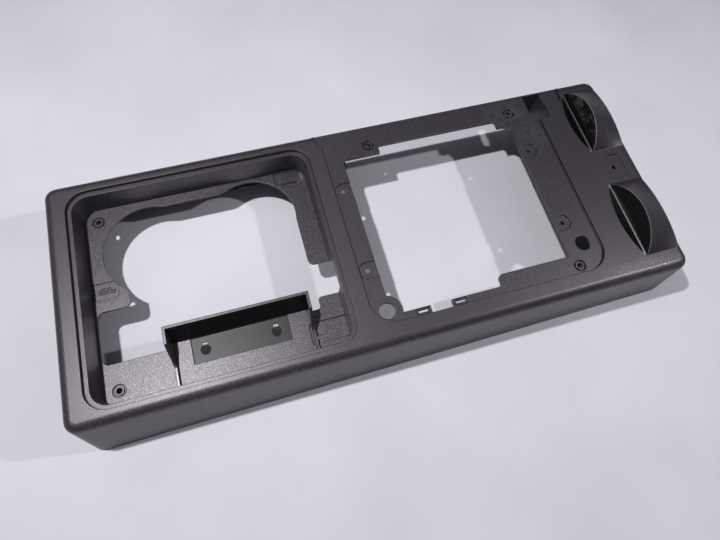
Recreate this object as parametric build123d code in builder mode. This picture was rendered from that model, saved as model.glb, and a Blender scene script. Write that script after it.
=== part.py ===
from build123d import *
import os

# Centre console trim panel, one hollow injection moulding.
# Millimetres. The origin is the middle of the footprint, +X runs along the panel towards
# its two hoods, +Y to the far side and +Z up. Places named *_X are measured from the left
# end and *_Y from the near foot of the panel; *_Z are heights above the foot.

# Whole panel
LENGTH = 575.0
WIDTH = 235.0
TOP_Z = 65.0            # painted top face above the foot
WALL = 2.5              # moulded wall thickness
EDGE_R = 8.0            # rounding between the top face and the skirts
CORNER_R = 11.0         # rounding of the upright corners
LEFT_DRAFT = 1.3        # how far each skirt leans in from foot to top
END_DRAFT = 7.5
FRONT_FLARE = 10.5
FRONT_FLARE_END = 2.5   # the flare dies out towards the hoods

# Seat for the lid on the left, with its narrow step and the deep ledge inside it
SEAT_LEFT_X = 19.5
SEAT_NEAR_Y = 21.0
SEAT_FAR_Y = WIDTH - 11.5
SEAT_STEP = 4.0
SEAT_R = 19.0
SEAT_RIM = 4.0          # width of the step
WELL_R = 15.0
LEDGE_Z = TOP_Z - 29.0
LEDGE_DRAFT = 1.5       # how far the well closes in on its way down

# Tray pocket that stands on the ledge
TRAY_LEFT_X = SEAT_LEFT_X + 69.5
TRAY_RIGHT_X = TRAY_LEFT_X + 119.5
TRAY_FAR_Y = SEAT_NEAR_Y + 48.0         # foot of its back wall, inside
TRAY_TOP_Z = TOP_Z - 8.0
TRAY_LEAN = 8.0         # how far its back wall leans out at the top
TRAY_END_LEAN = 2.0
TRAY_RIB = 4.0          # low rib left in front of each end wall
TRAY_RAMP_Y = (TRAY_FAR_Y - 20.5, TRAY_FAR_Y - 5.5)     # foot and head of the ramp of each end wall
TRAY_RAMP_R = 8.0
SINK = 1.2              # depth of the shallow recesses in ledge and frame
LABEL_LEFT_X = TRAY_LEFT_X + 13.5
LABEL_RIGHT_X = LABEL_LEFT_X + 88.0
LABEL_NEAR_Y = TRAY_FAR_Y - 23.5
KEY_R = 4.4
KEY_SLOT = 4.6
KEY_X = (TRAY_LEFT_X + 25.0, TRAY_LEFT_X + 89.0)
KEY_Y = TRAY_FAR_Y - 12.5
KEY_RISE = 7.0

# Openings through the ledge; the right end of the bay sets how far the seat reaches
BAY_LEFT_X = SEAT_LEFT_X + 37.5
BAY_RIGHT_X = TRAY_RIGHT_X + 13.1
SEAT_RIGHT_X = BAY_RIGHT_X + 25.4
CUP_A_X, CUP_A_Y, CUP_A_R = SEAT_LEFT_X + 63.0, SEAT_FAR_Y - 57.0, 45.0
CUP_B_X, CUP_B_Y, CUP_B_R = BAY_RIGHT_X - 41.6, SEAT_FAR_Y - 50.5, 42.6
BAY_FAR_Y = SEAT_FAR_Y - 14.8
BAY_NEAR_Y = TRAY_FAR_Y - 2.3
BAY_R = 6.0
CUP_BLEND_R = 16.0
NOTCH_LEFT_X = SEAT_LEFT_X + 7.3
NOTCH_NEAR_Y = TRAY_FAR_Y - 4.6
NOTCH_FAR_Y = max(CUP_A_Y - 52.8, NOTCH_NEAR_Y + 2.2 * BAY_R)
GAP_NEAR_Y, GAP_FAR_Y = TRAY_FAR_Y + 9.0, TRAY_FAR_Y + 42.5     # gap that runs out through the right wall
GAP_TOP_Z = LEDGE_Z + 14.0

# Fastening points and clips on the ledge
LEDGE_BOSS_X = SEAT_LEFT_X + 18.5
LEDGE_BOSS_Y = (SEAT_NEAR_Y + 19.0, SEAT_FAR_Y - 18.5)
BOSS_HOLE_R = 2.5
BOSS_FACE_R = 5.8
BOSS_FACE_DEPTH = 1.5
BOSS_DEPTH = 9.0
LATCH_RIGHT_X = SEAT_LEFT_X + 29.0
LATCH_NEAR_Y = CUP_A_Y - 41.7
LATCH_FAR_Y = LATCH_NEAR_Y + 17.2
LATCH_R = 6.0
LATCH_SLOT_X = (LATCH_RIGHT_X - 17.5, LATCH_RIGHT_X - 3.5)
LATCH_SLOT_Y = (LATCH_NEAR_Y + 6.2, LATCH_NEAR_Y + 9.2)
LATCH_TEETH_X = (LATCH_RIGHT_X - 14.0, LATCH_RIGHT_X - 9.0)
LATCH_TOOTH = 3.0
TAB_LEFT_X, TAB_RIGHT_X = SEAT_RIGHT_X - 36.6, SEAT_RIGHT_X - 11.2
TAB_NEAR_Y = SEAT_FAR_Y - 24.2
TAB_R = 4.0
TAB_SLOT_X = (TAB_LEFT_X + 4.6, TAB_LEFT_X + 21.6)
TAB_SLOT_Y = (TAB_NEAR_Y + 4.7, TAB_NEAR_Y + 6.3)
WINDOW_Z = LEDGE_Z + 11.5       # head of the window in the far wall of the well
PAD_LEFT_X = TRAY_RIGHT_X - 1.8
PAD_NEAR_Y, PAD_FAR_Y = TRAY_FAR_Y - 33.5, TRAY_FAR_Y - 13.5
PAD_SLOT_X = (PAD_LEFT_X + 4.6, PAD_LEFT_X + 14.6)
PAD_SLOT_Y = (PAD_NEAR_Y + 4.3, PAD_NEAR_Y + 6.9)

# Sunk frame on the right
FRAME_LEFT_X, FRAME_RIGHT_X = SEAT_RIGHT_X + 14.3, LENGTH - 83.0
FRAME_NEAR_Y = FRONT_FLARE + 18.9
FRAME_SINK = 2.5
FRAME_R = 23.0
FRAME_JOG_X = FRAME_LEFT_X - 3.9
FRAME_JOG_Y = WIDTH - 15.5
SIDE_POCKET_RIGHT_X = FRAME_RIGHT_X + 32.0
SIDE_POCKET_NEAR_Y = WIDTH - 19.5

# Opening in the frame
HATCH_LEFT_X, HATCH_RIGHT_X = FRAME_LEFT_X + 17.2, FRAME_RIGHT_X - 35.0
HATCH_NEAR_Y, HATCH_FAR_Y = FRAME_NEAR_Y + 18.6, WIDTH - 34.0
HATCH_BACK_LEFT_X, HATCH_BACK_RIGHT_X = HATCH_LEFT_X + 38.5, HATCH_RIGHT_X - 12.5
HATCH_BACK_Y = HATCH_FAR_Y + 8.5
HATCH_FRONT_RIGHT_X = min(HATCH_LEFT_X + 105.5, HATCH_RIGHT_X - 20.0)
HATCH_FRONT_Y = HATCH_NEAR_Y - 11.2
HATCH_CORNER = 4.0
HATCH_RIM = 2.0         # rim that stiffens the opening from below
CLIP_GAP_LEFT_X, CLIP_GAP_RIGHT_X = HATCH_LEFT_X + 35.5, HATCH_LEFT_X + 56.0
CLIP_X = (CLIP_GAP_LEFT_X - 7.5, CLIP_GAP_RIGHT_X + 7.5)
CLIP_LENGTH, CLIP_WIDTH = 12.5, 5.6
CLIP_SLOT_LENGTH, CLIP_SLOT_WIDTH = 8.8, 2.3
CLIP_Y = FRAME_NEAR_Y + 4.2

# Holes of the frame
PORT_R = 7.5
PORT_RIM = 6.5
PORT_A_X, PORT_A_Y = HATCH_LEFT_X - 3.1, FRAME_NEAR_Y + 12.1
PORT_B_X, PORT_B_Y = HATCH_RIGHT_X + 18.3, FRAME_NEAR_Y + 28.3
SCREW_LEFT_X = HATCH_LEFT_X - 9.0
SCREW_PITCH_X = HATCH_RIGHT_X + 8.5 - SCREW_LEFT_X
SCREW_NEAR_Y = HATCH_NEAR_Y + 34.5
SCREW_PITCH_Y = HATCH_FAR_Y - 34.0 - SCREW_NEAR_Y
SCREW_R = 2.2
SCREW_PAD_R = 8.2
FRAME_BOSSES = ((HATCH_LEFT_X + 29.3, HATCH_FAR_Y + 10.5),
                (HATCH_RIGHT_X + 5.0, HATCH_FAR_Y + 13.3),
                (HATCH_RIGHT_X + 5.5, HATCH_NEAR_Y - 10.9))
BOSSES = ([(LEDGE_BOSS_X, y, LEDGE_Z) for y in LEDGE_BOSS_Y]
          + [(x, y, TOP_Z - FRAME_SINK) for x, y in FRAME_BOSSES])
CHUTE_LEFT_X, CHUTE_RIGHT_X = FRAME_RIGHT_X - 7.5, FRAME_RIGHT_X + 12.0
CHUTE_NEAR_Y, CHUTE_FAR_Y = WIDTH - 35.5, WIDTH - 3.5
CHUTE_LEFT_DEPTH, CHUTE_RIGHT_DEPTH = 15.0, 28.0
CHUTE_WALL = 2.0
CHUTE_CUT_Y = WIDTH - 26.0      # the right wall is short in front of this

# Hoods
HOOD_RISE = 22.0
HOOD_LEAN = 4.5
HOOD_TAIL = 6.0         # what is left of the rise at the outer end
HOOD_X, HOOD_END_X = LENGTH - 47.5, LENGTH - 12.0
HOOD_SPANS = ((29.5, WIDTH - 126.5), (WIDTH - 87.0, WIDTH - 12.5))
HOOD_LIP = 2.0
HOOD_LIP_RISE = 1.2
HOOD_ROOT = 4.0         # how deep the hood's walls reach below the top face

# Strip between the hoods
STRIP_HOLE_X, STRIP_HOLE_Y = HOOD_X + 14.5, WIDTH - 108.7
STRIP_PAD_LEFT_X, STRIP_PAD_RIGHT_X = STRIP_HOLE_X - 8.0, STRIP_HOLE_X + 11.0
STRIP_PAD_WIDTH = 24.0
STRIP_SINK = 0.8

# Far skirt, cut away behind the frame
CUTAWAY_LEFT_X, CUTAWAY_RIGHT_X = HATCH_LEFT_X + 13.5, LENGTH - 34.0
CUTAWAY_Z = 27.0
CUTAWAY_R = 8.0


def along(distance):
    return distance - LENGTH / 2


def across(distance):
    return distance - WIDTH / 2


def span(left, right, near, far):
    """Rectangle between two distances from the left end and two from the near foot."""
    with Locations((along((left + right) / 2), across((near + far) / 2))):
        Rectangle(right - left, far - near)


def rounded_span(left, right, near, far, radius):
    with Locations((along((left + right) / 2), across((near + far) / 2))):
        RectangleRounded(right - left, far - near, radius)


def disc(x, y, radius, mode=Mode.ADD):
    with Locations((along(x), across(y))):
        Circle(radius, mode=mode)


def block_span(left, right, near, far, base, height, mode=Mode.ADD):
    """Straight block over a span, from one height to another."""
    with Locations((along((left + right) / 2), across((near + far) / 2), (base + height) / 2)):
        Box(right - left, far - near, height - base, mode=mode)


def corner(sketch, x, y):
    """Corner of a sketch nearest to a place on the panel."""
    return sketch.vertices().sort_by_distance((along(x), across(y), 0))[0]


def outline(inset, height):
    """Footprint of the skirts at a height, pulled in by a wall."""
    share = height / TOP_Z
    left = along(LEFT_DRAFT * share + inset)
    right = along(LENGTH - END_DRAFT * share - inset)
    far = across(WIDTH - inset)
    near_left = across(FRONT_FLARE * share + inset)
    near_right = across(FRONT_FLARE - FRONT_FLARE_END * (1 - share) + inset)
    with BuildLine() as border:
        Polyline((left, near_left), (right, near_right), (right, far), (left, far), close=True)
    make_face(border.edges())


def skirt_block(inset, drop):
    """Solid inside the skirts: the wall is the inset, the top face comes down by the drop."""
    with BuildPart() as block:
        for height in (0, TOP_Z - drop):
            with BuildSketch(Plane.XY.offset(height)):
                outline(inset, height)
        loft(ruled=True)
        levels = block.faces().sort_by(Axis.Z)
        uprights = block.edges() - levels[0].edges() - levels[-1].edges()
        fillet(uprights, CORNER_R - inset)
        fillet(block.faces().sort_by(Axis.Z)[-1].edges(), EDGE_R - inset)
    return block.part


def hood_section(near, far, rise, below):
    """Arch over a chord, with a foot that reaches down into the panel."""
    middle = across((near + far) / 2)
    half = (far - near) / 2
    with BuildLine() as arch:
        ThreePointArc((middle - half, 0), (middle, rise), (middle + half, 0))
        Polyline((middle + half, 0), (middle + half, -below), (middle - half, -below), (middle - half, 0))
    make_face(arch.edges())


def hood_block(near, far, inset, below):
    """Hood over one span: a leaning arch at the front that dies away towards the end."""
    lean = Plane(origin=(along(HOOD_X + inset), 0, TOP_Z), x_dir=(0, 1, 0),
                 z_dir=(1, 0, -HOOD_LEAN / HOOD_RISE))
    tail = Plane(origin=(along(HOOD_END_X - inset), 0, TOP_Z), x_dir=(0, 1, 0), z_dir=(1, 0, 0))
    with BuildPart() as hood:
        with BuildSketch(lean):
            hood_section(near + inset, far - inset, HOOD_RISE - inset, below)
        with BuildSketch(tail):
            hood_section(near + inset, far - inset, HOOD_TAIL - inset / 2, below)
        loft()
    return hood.part


def tray_block(inset, base):
    """Solid of the tray pocket, whose back and ends lean out as they rise."""
    with BuildPart() as block:
        for height, share in ((base, 0), (TRAY_TOP_Z, 1)):
            with BuildSketch(Plane.XY.offset(height)):
                lean = TRAY_END_LEAN * share
                span(TRAY_LEFT_X + inset - lean, TRAY_RIGHT_X - inset + lean,
                     SEAT_NEAR_Y + SEAT_RIM, TRAY_FAR_Y - inset + TRAY_LEAN * share)
        loft()
    return block.part


def tray_ramp():
    """What is cut from above so that the end walls sweep down to a low rib."""
    rib_top = LEDGE_Z + TRAY_RIB
    foot, head = (across(y) for y in TRAY_RAMP_Y)
    start = across(SEAT_NEAR_Y)
    over = TRAY_TOP_Z + WALL
    with BuildPart() as ramp:
        with BuildSketch(Plane.YZ.offset(along(TRAY_LEFT_X - WALL - 2 * TRAY_END_LEAN))) as side:
            with BuildLine():
                Polyline((start, rib_top), (foot, rib_top), (head, TRAY_TOP_Z), (head, over), (start, over),
                         close=True)
            make_face()
            fillet(side.vertices().sort_by_distance((0, foot, rib_top))[0], TRAY_RAMP_R)
        extrude(amount=TRAY_RIGHT_X - TRAY_LEFT_X + 2 * WALL + 4 * TRAY_END_LEAN)
    return ramp.part


def ledge_opening():
    """Outline of the large opening in the ledge: two cup circles, a bay, a notch and a gap."""
    with BuildSketch(Plane.XY.offset(LEDGE_Z - WALL)) as opening:
        disc(CUP_A_X, CUP_A_Y, CUP_A_R)
        disc(CUP_B_X, CUP_B_Y, CUP_B_R)
        span(CUP_A_X, CUP_B_X, CUP_A_Y, BAY_FAR_Y)
        span(BAY_LEFT_X, BAY_RIGHT_X, TRAY_FAR_Y + WALL, CUP_A_Y)
        span(TRAY_RIGHT_X + WALL, BAY_RIGHT_X, BAY_NEAR_Y, CUP_A_Y)
        span(NOTCH_LEFT_X, TRAY_LEFT_X - WALL, NOTCH_NEAR_Y, NOTCH_FAR_Y)
        span(CUP_B_X, SEAT_RIGHT_X - SEAT_RIM - LEDGE_DRAFT, GAP_NEAR_Y, GAP_FAR_Y)
        rise_a, rise_b = BAY_FAR_Y - CUP_A_Y, BAY_FAR_Y - CUP_B_Y
        fillet([corner(opening, CUP_A_X + (CUP_A_R ** 2 - rise_a ** 2) ** 0.5, BAY_FAR_Y),
                corner(opening, CUP_B_X - (CUP_B_R ** 2 - rise_b ** 2) ** 0.5, BAY_FAR_Y)], CUP_BLEND_R)
        fillet([corner(opening, BAY_LEFT_X, NOTCH_FAR_Y), corner(opening, NOTCH_LEFT_X, NOTCH_FAR_Y),
                corner(opening, NOTCH_LEFT_X, NOTCH_NEAR_Y), corner(opening, BAY_RIGHT_X, GAP_FAR_Y)], BAY_R)
        fillet([corner(opening, BAY_RIGHT_X, GAP_NEAR_Y), corner(opening, BAY_RIGHT_X, BAY_NEAR_Y)], BAY_R / 2)
    return opening.sketch


def hatch_opening():
    """Outline of the opening in the frame, which runs round the near port."""
    with BuildSketch(Plane.XY.offset(TOP_Z - FRAME_SINK - WALL)) as hatch:
        span(HATCH_LEFT_X, HATCH_RIGHT_X, HATCH_NEAR_Y, HATCH_FAR_Y)
        span(HATCH_BACK_LEFT_X, HATCH_BACK_RIGHT_X, HATCH_FAR_Y, HATCH_BACK_Y)
        span(HATCH_LEFT_X, HATCH_FRONT_RIGHT_X, HATCH_FRONT_Y, HATCH_NEAR_Y)
        span(CLIP_GAP_LEFT_X, CLIP_GAP_RIGHT_X, FRAME_NEAR_Y, HATCH_FRONT_Y)
        chamfer([corner(hatch, HATCH_BACK_LEFT_X, HATCH_BACK_Y), corner(hatch, HATCH_BACK_RIGHT_X, HATCH_BACK_Y)],
                HATCH_CORNER / 2)
        fillet([corner(hatch, HATCH_FRONT_RIGHT_X, HATCH_FRONT_Y), corner(hatch, HATCH_FRONT_RIGHT_X, HATCH_NEAR_Y),
                corner(hatch, HATCH_LEFT_X, HATCH_FAR_Y)], HATCH_CORNER)
        fillet(corner(hatch, HATCH_RIGHT_X, HATCH_FAR_Y), 2 * HATCH_CORNER)
        disc(PORT_A_X, PORT_A_Y, PORT_R + PORT_RIM, mode=Mode.SUBTRACT)
    return hatch.sketch


skirts = skirt_block(0, 0)
hollow = skirt_block(WALL, WALL)
tray_walls = tray_block(-WALL, LEDGE_Z - WALL)
tray_room = tray_block(0, LEDGE_Z)
tray_cut = tray_ramp()

with BuildPart() as console_panel:
    # Skirts and top as one shell, open below
    add(skirts)
    add(hollow, mode=Mode.SUBTRACT)

    # Well of the lid seat: its walls and its ledge hang from the top face
    well = (SEAT_LEFT_X + SEAT_RIM, SEAT_RIGHT_X - SEAT_RIM, SEAT_NEAR_Y + SEAT_RIM, SEAT_FAR_Y - SEAT_RIM)
    for inset, base, mode in ((-WALL, LEDGE_Z - WALL, Mode.ADD), (0, LEDGE_Z, Mode.SUBTRACT)):
        left, right, near, far = well[0] + inset, well[1] - inset, well[2] + inset, well[3] - inset
        for height, close_in in ((base, LEDGE_DRAFT), (TOP_Z - SEAT_STEP, 0)):
            with BuildSketch(Plane.XY.offset(height)):
                rounded_span(left + close_in, right - close_in, near + close_in, far - close_in,
                             WELL_R - inset - close_in)
        loft(mode=mode)
        seat = (SEAT_LEFT_X + inset, SEAT_RIGHT_X - inset, SEAT_NEAR_Y + inset, SEAT_FAR_Y - inset)
        with BuildSketch(Plane.XY.offset(TOP_Z - SEAT_STEP + inset)):
            rounded_span(*seat, SEAT_R - inset)
        extrude(amount=SEAT_STEP - inset - (WALL if inset else 0) / 2, mode=mode)

    # Sunk frame: a plate under the recess, then the recess itself
    with BuildSketch(Plane.XY.offset(TOP_Z - FRAME_SINK - WALL)) as frame_pan:
        rounded_span(FRAME_LEFT_X - WALL, FRAME_RIGHT_X + WALL, FRAME_NEAR_Y - WALL, WIDTH - WALL, FRAME_R + WALL)
        span(FRAME_JOG_X - WALL, SIDE_POCKET_RIGHT_X + WALL, SIDE_POCKET_NEAR_Y - WALL, WIDTH - WALL)
    extrude(amount=FRAME_SINK + WALL / 2)
    with BuildSketch(Plane.XY.offset(TOP_Z - FRAME_SINK)) as frame_recess:
        span(FRAME_LEFT_X, FRAME_RIGHT_X, FRAME_NEAR_Y, WIDTH + EDGE_R)
        fillet([corner(frame_recess, x, FRAME_NEAR_Y) for x in (FRAME_LEFT_X, FRAME_RIGHT_X)], FRAME_R)
        span(FRAME_JOG_X, SIDE_POCKET_RIGHT_X, FRAME_JOG_Y, WIDTH + EDGE_R)
        span(FRAME_RIGHT_X, SIDE_POCKET_RIGHT_X, SIDE_POCKET_NEAR_Y, WIDTH + EDGE_R)
    extrude(amount=FRAME_SINK + EDGE_R, mode=Mode.SUBTRACT)

    # Tray pocket on the ledge, open to the front
    add(tray_walls)
    add(tray_room, mode=Mode.SUBTRACT)
    add(tray_cut, mode=Mode.SUBTRACT)
    with BuildSketch(Plane.XY.offset(LEDGE_Z - SINK)):
        span(LABEL_LEFT_X, LABEL_RIGHT_X, LABEL_NEAR_Y, TRAY_FAR_Y)
    extrude(amount=SINK, mode=Mode.SUBTRACT)
    with BuildSketch(Plane.XY.offset(LEDGE_Z - WALL)):
        for x in KEY_X:
            disc(x, KEY_Y, KEY_R)
            span(x - KEY_SLOT / 2, x + KEY_SLOT / 2, KEY_Y, KEY_Y + KEY_RISE)
    extrude(amount=WALL, mode=Mode.SUBTRACT)

    # Openings of the ledge, and the gap that runs out under its right wall
    extrude(ledge_opening(), amount=WALL, mode=Mode.SUBTRACT)
    block_span(SEAT_RIGHT_X - SEAT_RIM - 2 * LEDGE_DRAFT, SEAT_RIGHT_X, GAP_NEAR_Y, GAP_FAR_Y,
               LEDGE_Z - WALL, GAP_TOP_Z, Mode.SUBTRACT)
    block_span(TAB_LEFT_X, TAB_RIGHT_X, SEAT_FAR_Y - SEAT_RIM - 2 * LEDGE_DRAFT, SEAT_FAR_Y,
               LEDGE_Z, WINDOW_Z, Mode.SUBTRACT)

    # Shallow recesses of the latch, the tab and the corner pad, each with its slot
    with BuildSketch(Plane.XY.offset(LEDGE_Z - SINK)) as recesses:
        span(SEAT_LEFT_X + SEAT_RIM + LEDGE_DRAFT, LATCH_RIGHT_X, LATCH_NEAR_Y, LATCH_FAR_Y)
        span(TAB_LEFT_X, TAB_RIGHT_X, TAB_NEAR_Y, SEAT_FAR_Y - SEAT_RIM - LEDGE_DRAFT)
        span(PAD_LEFT_X, SEAT_RIGHT_X - SEAT_RIM - LEDGE_DRAFT, PAD_NEAR_Y, PAD_FAR_Y)
        fillet([corner(recesses, LATCH_RIGHT_X, y) for y in (LATCH_NEAR_Y, LATCH_FAR_Y)], LATCH_R)
        fillet([corner(recesses, x, TAB_NEAR_Y) for x in (TAB_LEFT_X, TAB_RIGHT_X)], TAB_R)
        fillet(corner(recesses, PAD_LEFT_X, PAD_FAR_Y), TAB_R)
    extrude(amount=SINK, mode=Mode.SUBTRACT)
    with BuildSketch(Plane.XY.offset(LEDGE_Z - WALL)):
        span(*LATCH_SLOT_X, *LATCH_SLOT_Y)
        for x in LATCH_TEETH_X:
            span(x - LATCH_TOOTH / 2, x + LATCH_TOOTH / 2, LATCH_SLOT_Y[0], LATCH_SLOT_Y[1] + LATCH_TOOTH)
        span(*TAB_SLOT_X, *TAB_SLOT_Y)
        span(*PAD_SLOT_X, *PAD_SLOT_Y)
    extrude(amount=WALL, mode=Mode.SUBTRACT)

    # Opening of the frame with a stiffening rim below it
    hatch = hatch_opening()
    with BuildSketch(Plane.XY.offset(TOP_Z - FRAME_SINK - WALL - HATCH_RIM)):
        offset(hatch, amount=HATCH_RIM)
    extrude(amount=HATCH_RIM)
    with BuildSketch(Plane.XY.offset(TOP_Z - FRAME_SINK - WALL - HATCH_RIM)):
        add(hatch)
    extrude(amount=2 * HATCH_RIM + WALL, mode=Mode.SUBTRACT)

    # Posts under the fastening points, before their holes
    for x, y, top in BOSSES:
        with BuildSketch(Plane.XY.offset(top - BOSS_DEPTH)):
            disc(x, y, BOSS_FACE_R + WALL / 2)
        extrude(amount=BOSS_DEPTH - WALL / 2)
    for x, y, top in BOSSES:
        with Locations((along(x), across(y), top)):
            CounterBoreHole(BOSS_HOLE_R, BOSS_FACE_R, BOSS_FACE_DEPTH, BOSS_DEPTH + WALL)

    # Screw pads beside the opening, ports and clips
    with BuildSketch(Plane.XY.offset(TOP_Z - FRAME_SINK - SINK)):
        for y in (SCREW_NEAR_Y, SCREW_NEAR_Y + SCREW_PITCH_Y):
            disc(SCREW_LEFT_X, y, SCREW_PAD_R)
            span(SCREW_LEFT_X, HATCH_LEFT_X, y - SCREW_PAD_R, y + SCREW_PAD_R)
            disc(SCREW_LEFT_X + SCREW_PITCH_X, y, SCREW_PAD_R)
            span(HATCH_RIGHT_X, SCREW_LEFT_X + SCREW_PITCH_X, y - SCREW_PAD_R, y + SCREW_PAD_R)
        for x in CLIP_X:
            span(x - CLIP_LENGTH / 2, x + CLIP_LENGTH / 2, CLIP_Y - CLIP_WIDTH / 2, CLIP_Y + CLIP_WIDTH / 2)
    extrude(amount=SINK, mode=Mode.SUBTRACT)
    with BuildSketch(Plane.XY.offset(TOP_Z - FRAME_SINK - WALL)):
        for x in (SCREW_LEFT_X, SCREW_LEFT_X + SCREW_PITCH_X):
            for y in (SCREW_NEAR_Y, SCREW_NEAR_Y + SCREW_PITCH_Y):
                disc(x, y, SCREW_R)
        disc(PORT_A_X, PORT_A_Y, PORT_R)
        disc(PORT_B_X, PORT_B_Y, PORT_R)
        for x in CLIP_X:
            span(x - CLIP_SLOT_LENGTH / 2, x + CLIP_SLOT_LENGTH / 2,
                 CLIP_Y - CLIP_SLOT_WIDTH / 2, CLIP_Y + CLIP_SLOT_WIDTH / 2)
    extrude(amount=WALL, mode=Mode.SUBTRACT)

    # Chute behind the frame: walls that hang round a rectangular hole
    plate_under = TOP_Z - FRAME_SINK - WALL
    block_span(CHUTE_LEFT_X - CHUTE_WALL, CHUTE_RIGHT_X, CHUTE_NEAR_Y - CHUTE_WALL, WIDTH - WALL,
               plate_under - CHUTE_LEFT_DEPTH, plate_under)
    block_span(CHUTE_RIGHT_X, CHUTE_RIGHT_X + CHUTE_WALL, CHUTE_CUT_Y, WIDTH - WALL,
               plate_under - CHUTE_RIGHT_DEPTH, plate_under)
    block_span(CHUTE_RIGHT_X, CHUTE_RIGHT_X + CHUTE_WALL, CHUTE_NEAR_Y - CHUTE_WALL, CHUTE_CUT_Y,
               plate_under - CHUTE_LEFT_DEPTH, plate_under)
    block_span(CHUTE_LEFT_X, CHUTE_RIGHT_X, CHUTE_NEAR_Y, CHUTE_FAR_Y,
               plate_under - CHUTE_RIGHT_DEPTH, TOP_Z, Mode.SUBTRACT)

    # Hoods: arched shells with a bead along the foot of their upright faces
    for near, far in HOOD_SPANS:
        add(hood_block(near, far, 0, HOOD_ROOT))
    for near, far in HOOD_SPANS:
        add(hood_block(near, far, WALL, 2 * HOOD_ROOT), mode=Mode.SUBTRACT)
        with BuildSketch(Plane.XZ.offset(-across(near))):
            with BuildLine():
                Polyline((along(HOOD_X - HOOD_LIP), TOP_Z), (along(HOOD_X), TOP_Z + HOOD_LIP_RISE),
                         (along(HOOD_X + WALL / 2), TOP_Z), close=True)
            make_face()
        extrude(amount=-(far - near))

    # Strip between the hoods
    middle = STRIP_HOLE_Y
    with BuildSketch(Plane.XY.offset(TOP_Z - STRIP_SINK)):
        rounded_span(STRIP_PAD_LEFT_X, STRIP_PAD_RIGHT_X, middle - STRIP_PAD_WIDTH / 2,
                     middle + STRIP_PAD_WIDTH / 2, BAY_R / 2)
    extrude(amount=STRIP_SINK, mode=Mode.SUBTRACT)
    with BuildSketch(Plane.XY.offset(TOP_Z - WALL)):
        disc(STRIP_HOLE_X, STRIP_HOLE_Y, SCREW_R)
    extrude(amount=WALL, mode=Mode.SUBTRACT)

    # Far skirt cut away behind the frame
    with BuildSketch(Plane.XZ.offset(-across(WIDTH))) as cutaway:
        with Locations((along((CUTAWAY_LEFT_X + CUTAWAY_RIGHT_X) / 2), 0)):
            RectangleRounded(CUTAWAY_RIGHT_X - CUTAWAY_LEFT_X, 2 * CUTAWAY_Z, CUTAWAY_R)
    extrude(amount=2 * WALL, mode=Mode.SUBTRACT)

console_panel.part.label = "console_panel"
os.makedirs("parts", exist_ok=True)
export_step(console_panel.part, "parts/console_panel.step")
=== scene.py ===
"""Centre console trim panel on a pale studio floor, as the photo shows it."""

import math

import bpy
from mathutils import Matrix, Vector


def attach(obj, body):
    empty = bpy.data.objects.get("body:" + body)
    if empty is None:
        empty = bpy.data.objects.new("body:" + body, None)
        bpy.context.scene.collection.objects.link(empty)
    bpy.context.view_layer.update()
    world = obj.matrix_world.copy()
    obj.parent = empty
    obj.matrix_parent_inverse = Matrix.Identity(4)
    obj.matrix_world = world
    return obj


MM = 0.001

# Camera, as worked out from the straight edges of the panel
CAMERA_PLACE = (-0.0987, -0.1925, 0.4967)
CAMERA_TURN = (21.79, -3.53, -16.10)        # degrees
LENS = 26.0
SENSOR = 36.0
NEAREST = 0.01          # anything closer to the camera than this is not drawn

# Two small lamps, placed from the light spots that the panel's holes leave on the floor
MAIN_PLACE, MAIN_SIZE, MAIN_POWER = (-0.41, 0.10, 1.05), 0.035, 8.8
SIDE_PLACE, SIDE_SIZE, SIDE_POWER = (0.67, -0.14, 0.79), 0.035, 2.9
SKY_LEVEL = 0.24        # straight overhead
SKY_LOW = 0.03          # at the horizon and up to SKY_START
SKY_START = 0.45        # upward part of a direction from which the sky gets brighter
SKY_COLOUR = "#eeeaf6"
FLOOR_SIZE = 6.0

# Panel in mm, in its own frame: X along it from its middle, Y across, Z from its foot
TOP_Z = 65.0
LEDGE_Z = 36.0
FRAME_Z = 62.5
HOOD_X = 240.0
HOOD_LEAN = 4.5 / 22.0
HOODS = ((-48.5, 39.5), (67.75, 37.25))     # middle and half width of each hood's foot
HOOD_FACE = (-0.5, 0.4)                     # depth of the upright faces' black, along the panel
HOOD_RIM_HIGHLIGHT = (0.4, 1.8)                       # depth of the rims behind it, which get a painted highlight
SCOOP_BULGE = 8.5       # how far the black crescents reach out in front of the hoods
SCOOP_SLOPE = 0.28
SEAM = (264.1, 264.9)                       # line moulded across both hoods
SLOT = ((253, 265), (21.6, 23.2))           # groove in the strip between the hoods, whose dark line is painted shade; along and across
TRAY = ((-200.5, -77.0), (-93.0, -40.0))    # span of the tray, along and across
TRAY_HEIGHTS = (LEDGE_Z + 0.6, LEDGE_Z + 24)
LABEL = ((-185.0, -97.0), (-72.0, -48.5))   # recess in the tray's floor
LABEL_HEIGHTS = (LEDGE_Z - 1.6, LEDGE_Z - 0.6)
BOSSES = ((-249.5, -77.5, LEDGE_Z), (-249.5, 87.5, LEDGE_Z),
          (20.3, 94.0, FRAME_Z), (174.5, 96.8, FRAME_Z), (175.0, -80.4, FRAME_Z))
BOSS_DEPTH = 1.5
SLEEVE_R, SLEEVE_HOLE_R = 4.1, 2.5
SLEEVE_SIDES = 32

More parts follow.
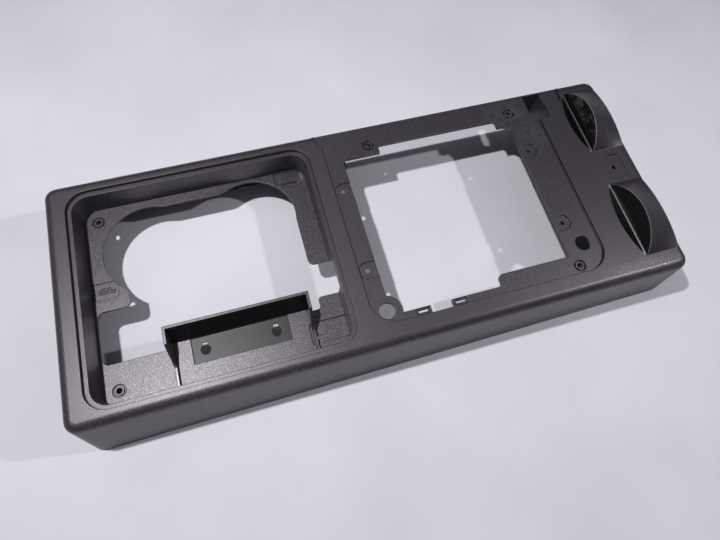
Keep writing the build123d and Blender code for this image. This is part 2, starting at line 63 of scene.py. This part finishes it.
# Paint; sizes in mm
GRAIN_SIZE, FLAKE_SIZE, WEAR_SIZE, GREY_PATCH_SIZE = 0.65, 0.4, 9.0, 14.0
GRAIN_TONES = ((0.40, "#2c2a30"), (0.65, "#6a646a"))    # hollows and tops of the grain
COOL_SPAN = (-50, 290)                      # the paint drifts from warm to cool along here
COOL_SHARE, COOL_TINT = 0.4, "#353039"
SPARK_SHARE, SPARK_TINT = 0.35, "#8d8684"
RUBBED_SPOTS = (((172, 97, FRAME_Z), 9, 20), ((187, 66, FRAME_Z), 6, 18))   # centre, radius, soft edge
RUBBED_SHARE, RUBBED_TINT = 0.55, "#6c6c75"
# Painted highlight: light specks on the near rail's right end stand in for the side lamp's glints
GLINT_SPOT = ((235, -100, TOP_Z), 18, 32)
GLINT_SPAN = (-111, -88)                   # across, so that only the near rail has the painted glints
GLINT_TINT = "#b9b4b6"
# Painted highlight along the hoods' rounded rims
RIM_HIGHLIGHT_TINT = "#a39c9c"
BLACK, GREY_PATCH_TINT = "#100f10", "#56514f"
GREY_PATCH_SHARE = 0.6
GREY_PATCH_HEIGHTS = (TOP_Z + 6, TOP_Z + 21)
GREY_PATCH_START = (20, 55)                  # across, so that only the far hood has the grey patch
LINE_TINT = "#141314"
LABEL_SHARE, SEAM_SHARE, TRAY_SHARE = 0.9, 0.7, 0.85
# Painted shade: creases, steps and grooves are darkened the more enclosed they are
CREASE_SHADE_TINT, CREASE_SHADE_SHARE, CREASE_SHADE_REACH = "#121112", 0.9, 2.2
EDGE_ROUND = 0.8
GRAIN_HEIGHT = 0.14
PAINT_ROUGH, SPARK_ROUGH, BARE_ROUGH = 0.42, 0.28, 0.22
PAINT_PITS, BARE_PITS = 0.34, 0.03
PAINT_SPECULAR, BARE_SPECULAR = 0.9, 0.4
PAINT_METAL = 0.55


def linear(code):
    """sRGB hex colour as linear RGBA."""
    parts = (int(code[i:i + 2], 16) / 255 for i in (1, 3, 5))
    return tuple(c / 12.92 if c <= 0.04045 else ((c + 0.055) / 1.055) ** 2.4 for c in parts) + (1.0,)


def add_node(tree, kind, links=None, **settings):
    """Adds a node; settings are its properties, links its inputs by name or number, as values or sockets."""
    node = tree.nodes.new(kind)
    for name, value in settings.items():
        setattr(node, name, value)
    for key, value in (links or {}).items():
        socket = node.inputs[key]
        if isinstance(value, bpy.types.NodeSocket):
            tree.links.new(value, socket)
        else:
            socket.default_value = value
    return node


def new_material(name):
    material = bpy.data.materials.new(name)
    material.use_nodes = True
    material.node_tree.nodes.clear()
    return material, material.node_tree


def finish_material(tree, inputs):
    """Ends a material with a Principled shader."""
    shader = add_node(tree, "ShaderNodeBsdfPrincipled", inputs)
    add_node(tree, "ShaderNodeOutputMaterial", {"Surface": shader.outputs["BSDF"]})


def calc(tree, operation, *values):
    """Result of one sum on values or sockets."""
    return add_node(tree, "ShaderNodeMath", dict(enumerate(values)), operation=operation).outputs[0]


def scaled(tree, value, share):
    return calc(tree, "MULTIPLY", value, share)


def ramp(tree, value, start, end):
    """0 before the start, 1 past the end, which may be the lower of the two."""
    return add_node(tree, "ShaderNodeMapRange", {"Value": value, "From Min": start, "From Max": end}).outputs[0]


def ramp_mm(tree, value, start, end):
    return ramp(tree, value, start * MM, end * MM)


def band(tree, value, low, high, soft):
    """1 between two values in mm, with a soft edge inside both."""
    return calc(tree, "MULTIPLY", ramp_mm(tree, value, low, low + soft), ramp_mm(tree, value, high, high - soft))


def patch(tree, x, y, spans, soft):
    """1 over a rectangle given by its spans in mm along and across the panel."""
    return calc(tree, "MULTIPLY", band(tree, x, *spans[0], soft), band(tree, y, *spans[1], soft))


def distance(tree, place, centre):
    return add_node(tree, "ShaderNodeVectorMath", {0: place, 1: centre}, operation="DISTANCE").outputs["Value"]


def spot(tree, place, centre, radius, soft):
    """1 inside a sphere, with a soft edge outside it; all in mm."""
    return ramp_mm(tree, distance(tree, place, tuple(c * MM for c in centre)), radius + soft, radius)


def noise(tree, place, size, detail=2.0, rough=0.5):
    """Noise whose grains are about a size in mm."""
    return add_node(tree, "ShaderNodeTexNoise", {"Vector": place, "Scale": 1 / (size * MM), "Detail": detail,
                                                 "Roughness": rough}).outputs["Fac"]


def either(tree, *masks):
    """Highest of some masks."""
    result = masks[0]
    for mask in masks[1:]:
        result = calc(tree, "MAXIMUM", result, mask)
    return result


def every(tree, *masks):
    """Product of some masks."""
    result = masks[0]
    for mask in masks[1:]:
        result = calc(tree, "MULTIPLY", result, mask)
    return result


def blend_colour(tree, factor, below, above):
    return add_node(tree, "ShaderNodeMix", {0: factor, 6: below, 7: above}, data_type="RGBA").outputs[2]


def blend_value(tree, factor, below, above):
    return add_node(tree, "ShaderNodeMix", {0: factor, 2: below, 3: above}).outputs[0]


def bump(tree, height, reach, strength, normal):
    return add_node(tree, "ShaderNodeBump", {"Height": height, "Distance": reach, "Strength": strength,
                                             "Normal": normal}).outputs["Normal"]


def crescents(tree, x, y, z):
    """Mask of the two crescents in front of the hoods, and how far each point lies inside their arcs."""
    flat = add_node(tree, "ShaderNodeCombineXYZ", {"X": x, "Y": y}).outputs[0]
    masks, depths = [], []
    for middle, half in HOODS:
        radius = (half ** 2 + SCOOP_BULGE ** 2) / (2 * SCOOP_BULGE)
        centre = ((HOOD_X - SCOOP_BULGE + radius) * MM, middle * MM, 0.0)
        depth = calc(tree, "SUBTRACT", radius * MM, distance(tree, flat, centre))
        masks.append(ramp_mm(tree, depth, 0.0, 0.3))
        depths.append(calc(tree, "MAXIMUM", depth, 0.0))
    before = ramp_mm(tree, x, HOOD_X - 1.0, HOOD_X - 1.3)
    level = ramp_mm(tree, z, TOP_Z - 0.6, TOP_Z - 0.3)
    return every(tree, either(tree, *masks), before, level), either(tree, *depths)


def hood_fronts(tree, x, z):
    """Masks of the hoods' upright faces and of the rims behind them, where a highlight is painted."""
    lean = scaled(tree, calc(tree, "SUBTRACT", z, TOP_Z * MM), HOOD_LEAN)
    behind = calc(tree, "SUBTRACT", calc(tree, "SUBTRACT", x, HOOD_X * MM), lean)
    risen = ramp_mm(tree, z, TOP_Z + 1.0, TOP_Z + 1.3)
    return (every(tree, band(tree, behind, *HOOD_FACE, 0.2), risen),
            every(tree, band(tree, behind, *HOOD_RIM_HIGHLIGHT, 0.4), risen))


def dark_lines(tree, x, y, z):
    """Mask of the label recess, and of it together with the seam across the hoods and the slot in the strip, whose
    dark line is painted shade.
    """
    label = every(tree, patch(tree, x, y, LABEL, 0.3), band(tree, z, *LABEL_HEIGHTS, 0.2))
    seam = every(tree, band(tree, x, *SEAM, 0.2), ramp_mm(tree, z, TOP_Z + 0.2, TOP_Z + 0.6))
    # painted shade: the slot in the strip is drawn as a dark line
    slot = every(tree, patch(tree, x, y, SLOT, 0.3), ramp_mm(tree, z, TOP_Z - 0.6, TOP_Z - 0.3))
    return label, either(tree, scaled(tree, label, LABEL_SHARE), scaled(tree, seam, SEAM_SHARE), slot)


def worn_paint(tree, place, x, y):
    """Colour of the paint with its wear, then its grain, its sparks, where it is rubbed smooth and painted glints.
    """
    grain = noise(tree, place, GRAIN_SIZE, 2.0, 0.6)
    flakes = noise(tree, place, FLAKE_SIZE, 1.0)
    tone = add_node(tree, "ShaderNodeValToRGB", {"Fac": grain})
    for stop, (position, tint) in zip(tone.color_ramp.elements, GRAIN_TONES):
        stop.position = position
        stop.color = linear(tint)
    warm = tone.outputs["Color"]
    paint = blend_colour(tree, ramp_mm(tree, x, *COOL_SPAN), warm,
                         blend_colour(tree, COOL_SHARE, warm, linear(COOL_TINT)))
    sparks = ramp(tree, flakes, 0.68, 0.78)
    paint = blend_colour(tree, scaled(tree, sparks, SPARK_SHARE), paint, linear(SPARK_TINT))

    cloud = noise(tree, place, WEAR_SIZE, 3.0, 0.6)
    rubbed = every(tree, either(tree, *(spot(tree, place, *area) for area in RUBBED_SPOTS)),
                   ramp(tree, cloud, 0.40, 0.62))
    paint = blend_colour(tree, scaled(tree, rubbed, RUBBED_SHARE), paint, linear(RUBBED_TINT))
    # painted highlight: light specks where the side lamp glints on the near rail
    painted_glints = every(tree, spot(tree, place, *GLINT_SPOT), ramp(tree, flakes, 0.62, 0.68),
                  band(tree, y, *GLINT_SPAN, 6))
    return blend_colour(tree, painted_glints, paint, linear(GLINT_TINT)), grain, sparks, rubbed


def bare_black(tree, place, y, z, upright):
    """Colour of the bare plastic, with a lighter grey patch on the upright face of the far hood."""
    cloud = noise(tree, place, GREY_PATCH_SIZE, 4.0, 0.7)
    grey_patch = every(tree, upright, ramp(tree, cloud, 0.47, 0.56), band(tree, z, *GREY_PATCH_HEIGHTS, 4),
                      ramp_mm(tree, y, *GREY_PATCH_START))
    return blend_colour(tree, scaled(tree, grey_patch, GREY_PATCH_SHARE), linear(BLACK), linear(GREY_PATCH_TINT))


def painted_abs():
    """Moulded ABS under a textured bronze grey paint with fine flakes. The hoods' upright faces, the crescents
    in front of them and the tray's back are bare and glossy black."""
    material, tree = new_material("painted_abs")
    place = add_node(tree, "ShaderNodeTexCoord").outputs["Object"]
    x, y, z = add_node(tree, "ShaderNodeSeparateXYZ", {0: place}).outputs

    paint, grain, sparks, rubbed = worn_paint(tree, place, x, y)
    scoop, depth = crescents(tree, x, y, z)
    upright, rim_highlight = hood_fronts(tree, x, z)
    label, lines = dark_lines(tree, x, y, z)
    tray = every(tree, patch(tree, x, y, TRAY, 1), band(tree, z, *TRAY_HEIGHTS, 0.5))
    bare = either(tree, scoop, upright, scaled(tree, tray, TRAY_SHARE))
    # painted shade: darkens creases, steps and grooves by how enclosed they are
    openness = add_node(tree, "ShaderNodeAmbientOcclusion", {"Distance": CREASE_SHADE_REACH * MM}, samples=8).outputs["AO"]
    crease_shade = scaled(tree, ramp(tree, openness, 0.85, 0.5), CREASE_SHADE_SHARE)

    # painted highlight on the hoods' rims
    colour = blend_colour(tree, rim_highlight, paint, linear(RIM_HIGHLIGHT_TINT))
    colour = blend_colour(tree, bare, colour, bare_black(tree, place, y, z, upright))
    colour = blend_colour(tree, lines, colour, linear(LINE_TINT))
    # painted shade in the creases
    colour = blend_colour(tree, crease_shade, colour, linear(CREASE_SHADE_TINT))

    dull = either(tree, bare, label)
    smooth = either(tree, bare, scaled(tree, rubbed, 0.7))
    rounded = add_node(tree, "ShaderNodeBevel", {"Radius": EDGE_ROUND * MM}, samples=6).outputs["Normal"]
    pitted = bump(tree, grain, GRAIN_HEIGHT * MM, blend_value(tree, smooth, PAINT_PITS, BARE_PITS), rounded)
    finish_material(tree, {
        "Base Color": colour,
        "Roughness": blend_value(tree, smooth, blend_value(tree, sparks, PAINT_ROUGH, SPARK_ROUGH), BARE_ROUGH),
        "Normal": bump(tree, scaled(tree, depth, -SCOOP_SLOPE), 1.0, scoop, pitted),
        "Specular IOR Level": blend_value(tree, dull, PAINT_SPECULAR, BARE_SPECULAR),
        "Metallic": blend_value(tree, dull, PAINT_METAL, 0.0)})
    return material


def studio_paper():
    """Matt pale sheet that the panel lies on, a little uneven and with a few specks of dust."""
    material, tree = new_material("studio_paper")
    place = add_node(tree, "ShaderNodeTexCoord").outputs["Object"]
    patches = ramp(tree, noise(tree, place, 160.0, 3.0), 0.3, 0.7)
    paper = blend_colour(tree, patches, linear("#d9d7e0"), linear("#e4e2ea"))
    specks = ramp(tree, noise(tree, place, 2.6, 1.0), 0.79, 0.81)
    finish_material(tree, {
        "Base Color": blend_colour(tree, scaled(tree, specks, 0.5), paper, linear("#8d8a90")),
        "Roughness": 0.8,
        "Specular IOR Level": 0.25})
    return material


def add_object(name, data):
    thing = bpy.data.objects.new(name, data)
    bpy.context.scene.collection.objects.link(thing)
    return thing


def add_floor():
    half = FLOOR_SIZE / 2
    mesh = bpy.data.meshes.new("floor")
    mesh.from_pydata([(-half, -half, 0), (half, -half, 0), (half, half, 0), (-half, half, 0)], [], [(0, 1, 2, 3)])
    floor = add_object("floor", mesh)
    floor.data.materials.append(studio_paper())


def add_sleeves(material):
    """Rings that stand in the counterbores of the fastening points, level with the surface round them."""
    points, faces = [], []
    for cx, cy, top in BOSSES:
        first = len(points)
        for radius, z in ((SLEEVE_HOLE_R, top - BOSS_DEPTH), (SLEEVE_HOLE_R, top), (SLEEVE_R, top),
                          (SLEEVE_R, top - BOSS_DEPTH)):
            for i in range(SLEEVE_SIDES):
                turn = 2 * math.pi * i / SLEEVE_SIDES
                points.append(((cx + radius * math.cos(turn)) * MM, (cy + radius * math.sin(turn)) * MM, z * MM))
        for row in range(4):
            for i in range(SLEEVE_SIDES):
                after = (i + 1) % SLEEVE_SIDES
                low, high = first + row * SLEEVE_SIDES, first + (row + 1) % 4 * SLEEVE_SIDES
                faces.append((low + i, high + i, high + after, low + after))
    mesh = bpy.data.meshes.new("boss_sleeves")
    mesh.from_pydata(points, [], faces)
    sleeves = add_object("boss_sleeves", mesh)
    sleeves.data.materials.append(material)
    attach(sleeves, "root")


def add_lamp(name, place, size, power):
    """Square lamp that looks at the middle of the panel."""
    light = bpy.data.lights.new(name, "AREA")
    light.size = size
    light.energy = power
    lamp = add_object(name, light)
    lamp.location = place
    lamp.rotation_euler = (-Vector(place)).to_track_quat("-Z", "Y").to_euler()


def add_sky():
    """Sky that is brighter overhead than at the horizon."""
    world = bpy.data.worlds.new("studio")
    world.use_nodes = True
    tree = world.node_tree
    tree.nodes.clear()
    way = add_node(tree, "ShaderNodeTexCoord").outputs["Generated"]
    height = add_node(tree, "ShaderNodeSeparateXYZ", {0: way}).outputs["Z"]
    level = blend_value(tree, ramp(tree, height, SKY_START, 1.0), SKY_LOW, SKY_LEVEL)
    background = add_node(tree, "ShaderNodeBackground", {"Color": linear(SKY_COLOUR), "Strength": level})
    add_node(tree, "ShaderNodeOutputWorld", {"Surface": background.outputs[0]})
    bpy.context.scene.world = world


def add_camera():
    lens = bpy.data.cameras.new("camera")
    lens.lens = LENS
    lens.sensor_width = SENSOR
    lens.clip_start = NEAREST
    camera = add_object("camera", lens)
    camera.location = CAMERA_PLACE
    camera.rotation_euler = [math.radians(a) for a in CAMERA_TURN]
    bpy.context.scene.camera = camera


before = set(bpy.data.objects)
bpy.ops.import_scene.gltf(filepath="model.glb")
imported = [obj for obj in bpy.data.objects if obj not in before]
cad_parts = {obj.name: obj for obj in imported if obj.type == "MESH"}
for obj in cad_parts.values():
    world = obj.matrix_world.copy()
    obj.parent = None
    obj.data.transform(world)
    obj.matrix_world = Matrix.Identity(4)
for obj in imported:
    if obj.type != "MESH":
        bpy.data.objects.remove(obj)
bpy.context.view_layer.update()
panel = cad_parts["console_panel"]
paint = painted_abs()
panel.data.materials.clear()
panel.data.materials.append(paint)
add_sleeves(paint)
add_floor()
add_lamp("main_lamp", MAIN_PLACE, MAIN_SIZE, MAIN_POWER)
add_lamp("side_lamp", SIDE_PLACE, SIDE_SIZE, SIDE_POWER)
add_sky()
add_camera()
bpy.context.scene.view_settings.view_transform = "Standard"
